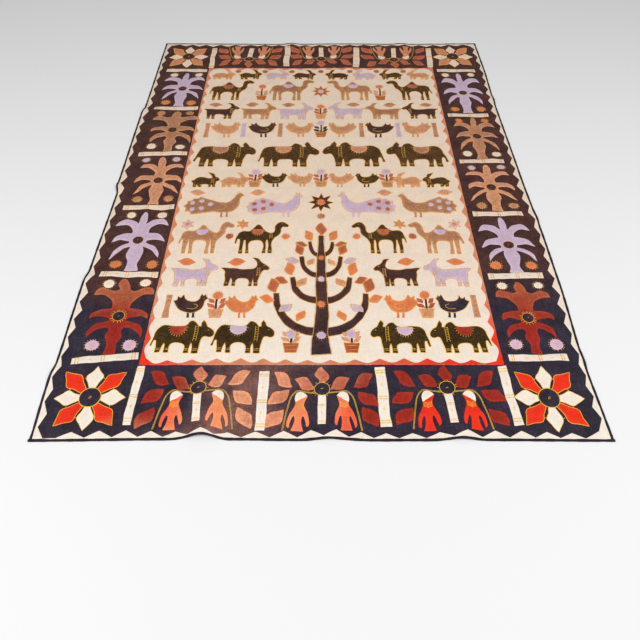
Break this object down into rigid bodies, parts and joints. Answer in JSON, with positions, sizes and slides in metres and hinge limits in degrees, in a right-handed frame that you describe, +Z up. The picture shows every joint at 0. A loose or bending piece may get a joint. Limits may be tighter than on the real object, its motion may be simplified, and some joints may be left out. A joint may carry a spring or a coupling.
{
  "type": "kanduri cloth",
  "caption": "Rectangular votive cotton applique cloth lying flat, with a cream field, dark palm-tree borders, red and cream sawtooth strips and a bound edge.",
  "frame": {"origin": "on the floor, under the middle of the cloth", "axes": "+Z up from the cloth's face, +Y along the cloth from its near end to its far end, +X across it to the right"},
  "size_m": [1.614, 2.148, 0.0161],
  "materials": {
    "cream": "plain-weave cotton, matte",
    "dark": "navy cotton faded to purple brown, matte",
    "red": "turkey-red cotton faded to salmon, matte",
    "tape": "dark cotton tape, matte",
    "brick": "brick-red cotton, matte",
    "tan": "tan cotton, matte",
    "lilac": "lilac cotton, matte",
    "orange": "orange cotton, matte",
    "olive": "dark olive-brown cotton, matte",
    "thread": "yellow couched cotton thread"
  },
  "bodies": {
    "root": {"field": "cream", "border_near": "dark", "border_far": "dark", "border_left": "dark", "border_right": "dark", "teeth_outer_near": "cream", "teeth_outer_right": "cream", "teeth_outer_far": "cream", "teeth_outer_left": "cream", "teeth_inner_near": "red", "teeth_inner_right": "red", "teeth_inner_far": "red", "teeth_inner_left": "red", "binding_near": "tape", "binding_far": "tape", "binding_left": "tape", "binding_right": "tape"}
  },
  "joints": []
}
